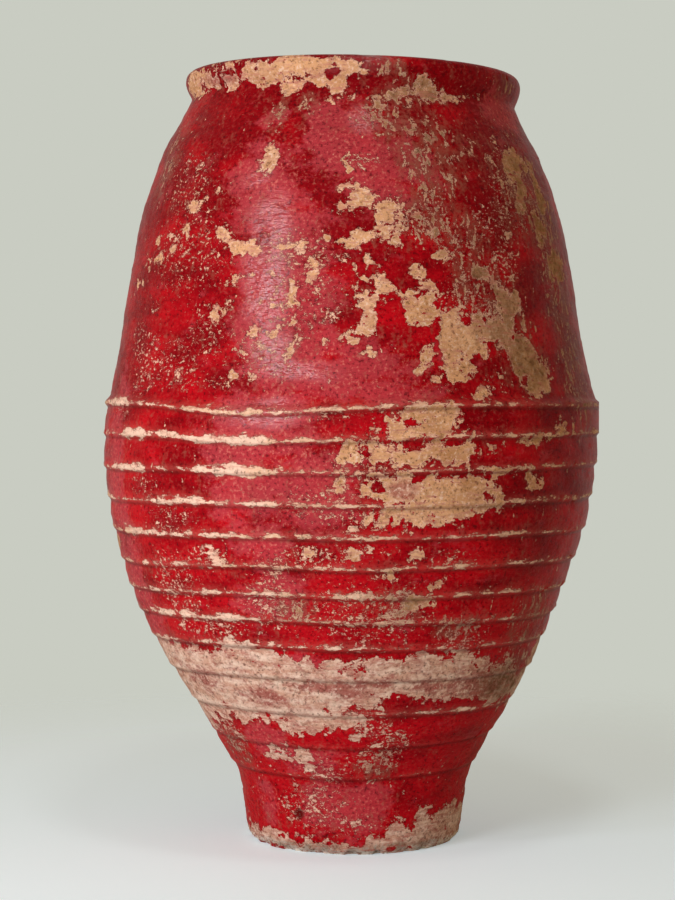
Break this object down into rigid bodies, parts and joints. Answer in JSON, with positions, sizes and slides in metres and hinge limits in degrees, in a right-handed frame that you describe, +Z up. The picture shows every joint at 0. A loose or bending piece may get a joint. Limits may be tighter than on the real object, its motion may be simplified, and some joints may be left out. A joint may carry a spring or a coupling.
{
  "type": "olive jar",
  "caption": "Tall free-standing clay storage jar with a plain foot, a ribbed belly, a closing shoulder and a rolled lip, in worn red paint over a pale coat.",
  "frame": {"origin": "centre of the foot's flat underside, on the ground", "axes": "+Z up along the jar's axis; -Y is the side that the picture shows"},
  "size_m": [0.651, 0.651, 1],
  "materials": {
    "painted_clay": "satin",
    "bare_clay": "matte"
  },
  "bodies": {
    "root": {"floor_disc": "bare_clay", "foot_wall": "painted_clay", "flare_wall": "painted_clay", "lower_belly": "painted_clay", "middle_belly": "painted_clay", "upper_belly": "painted_clay", "lower_shoulder": "painted_clay", "upper_shoulder": "painted_clay", "lip": "painted_clay"}
  },
  "joints": []
}
